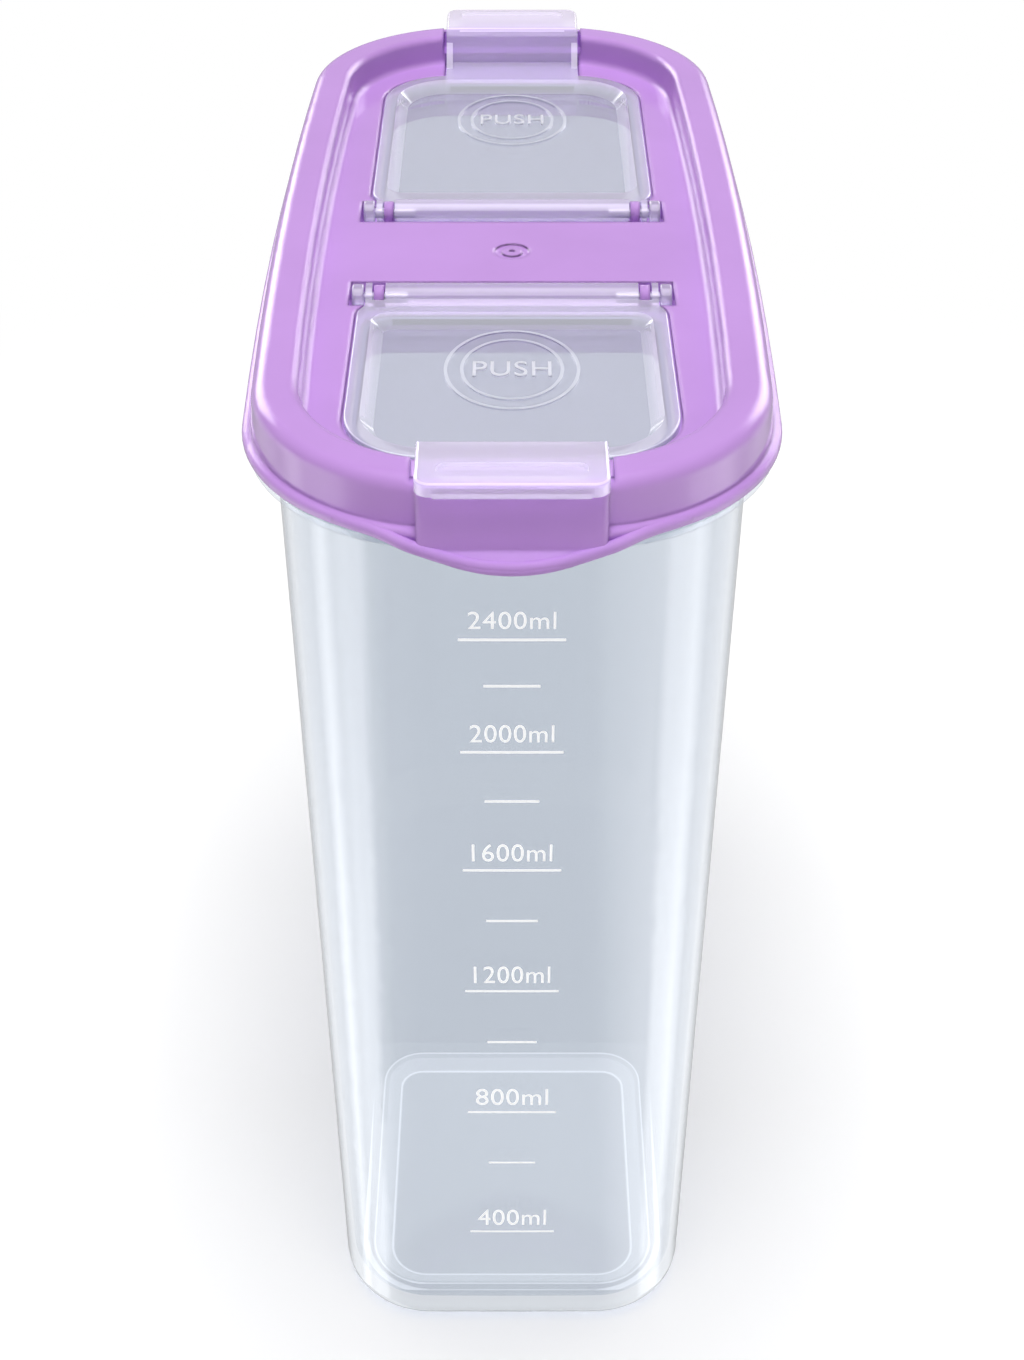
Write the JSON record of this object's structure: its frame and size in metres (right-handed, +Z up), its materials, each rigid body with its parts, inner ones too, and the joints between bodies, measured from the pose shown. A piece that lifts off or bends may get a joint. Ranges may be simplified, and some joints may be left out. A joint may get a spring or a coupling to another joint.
{
  "type": "storage container",
  "caption": "Tall narrow clear dry-food container: tapered tub, lift-off lid with a raised frame, and hinged flip caps with latches over the pour openings.",
  "frame": {"origin": "middle of the base, on the surface the container stands on", "axes": "+X to the right seen from the graduated narrow front, +Y from that front to the rear, +Z up"},
  "size_m": [0.0924, 0.212, 0.2232],
  "materials": {
    "clear_plastic": "clear moulded plastic with a faint blue cast",
    "cap_plastic": "clear polished plastic",
    "lid_plastic": "glossy lavender moulded plastic",
    "silicone": "pale translucent silicone"
  },
  "bodies": {
    "container": {"container_body": "clear_plastic"},
    "lid": {"lid": "lid_plastic", "lid_gasket": "silicone"},
    "front_cap": {"front_cap": "cap_plastic", "front_cap_seal": "silicone", "front_left_hinge_pin": "cap_plastic", "front_right_hinge_pin": "cap_plastic"},
    "rear_cap": {"rear_cap": "cap_plastic", "rear_cap_seal": "silicone", "rear_left_hinge_pin": "cap_plastic", "rear_right_hinge_pin": "cap_plastic"}
  },
  "joints": [
    {"name": "lid_lift", "type": "slide", "parent": "container", "child": "lid", "axis": [0, 0, 1], "range_m": [0, 0.06]},
    {"name": "front_cap_hinge", "type": "hinge", "parent": "lid", "child": "front_cap", "pos_m": [0, -0.0253, 0.2145], "axis": [-1, 0, 0], "range_deg": [0, 95]},
    {"name": "rear_cap_hinge", "type": "hinge", "parent": "lid", "child": "rear_cap", "pos_m": [0, 0.0113, 0.2145], "axis": [1, 0, 0], "range_deg": [0, 95]}
  ]
}
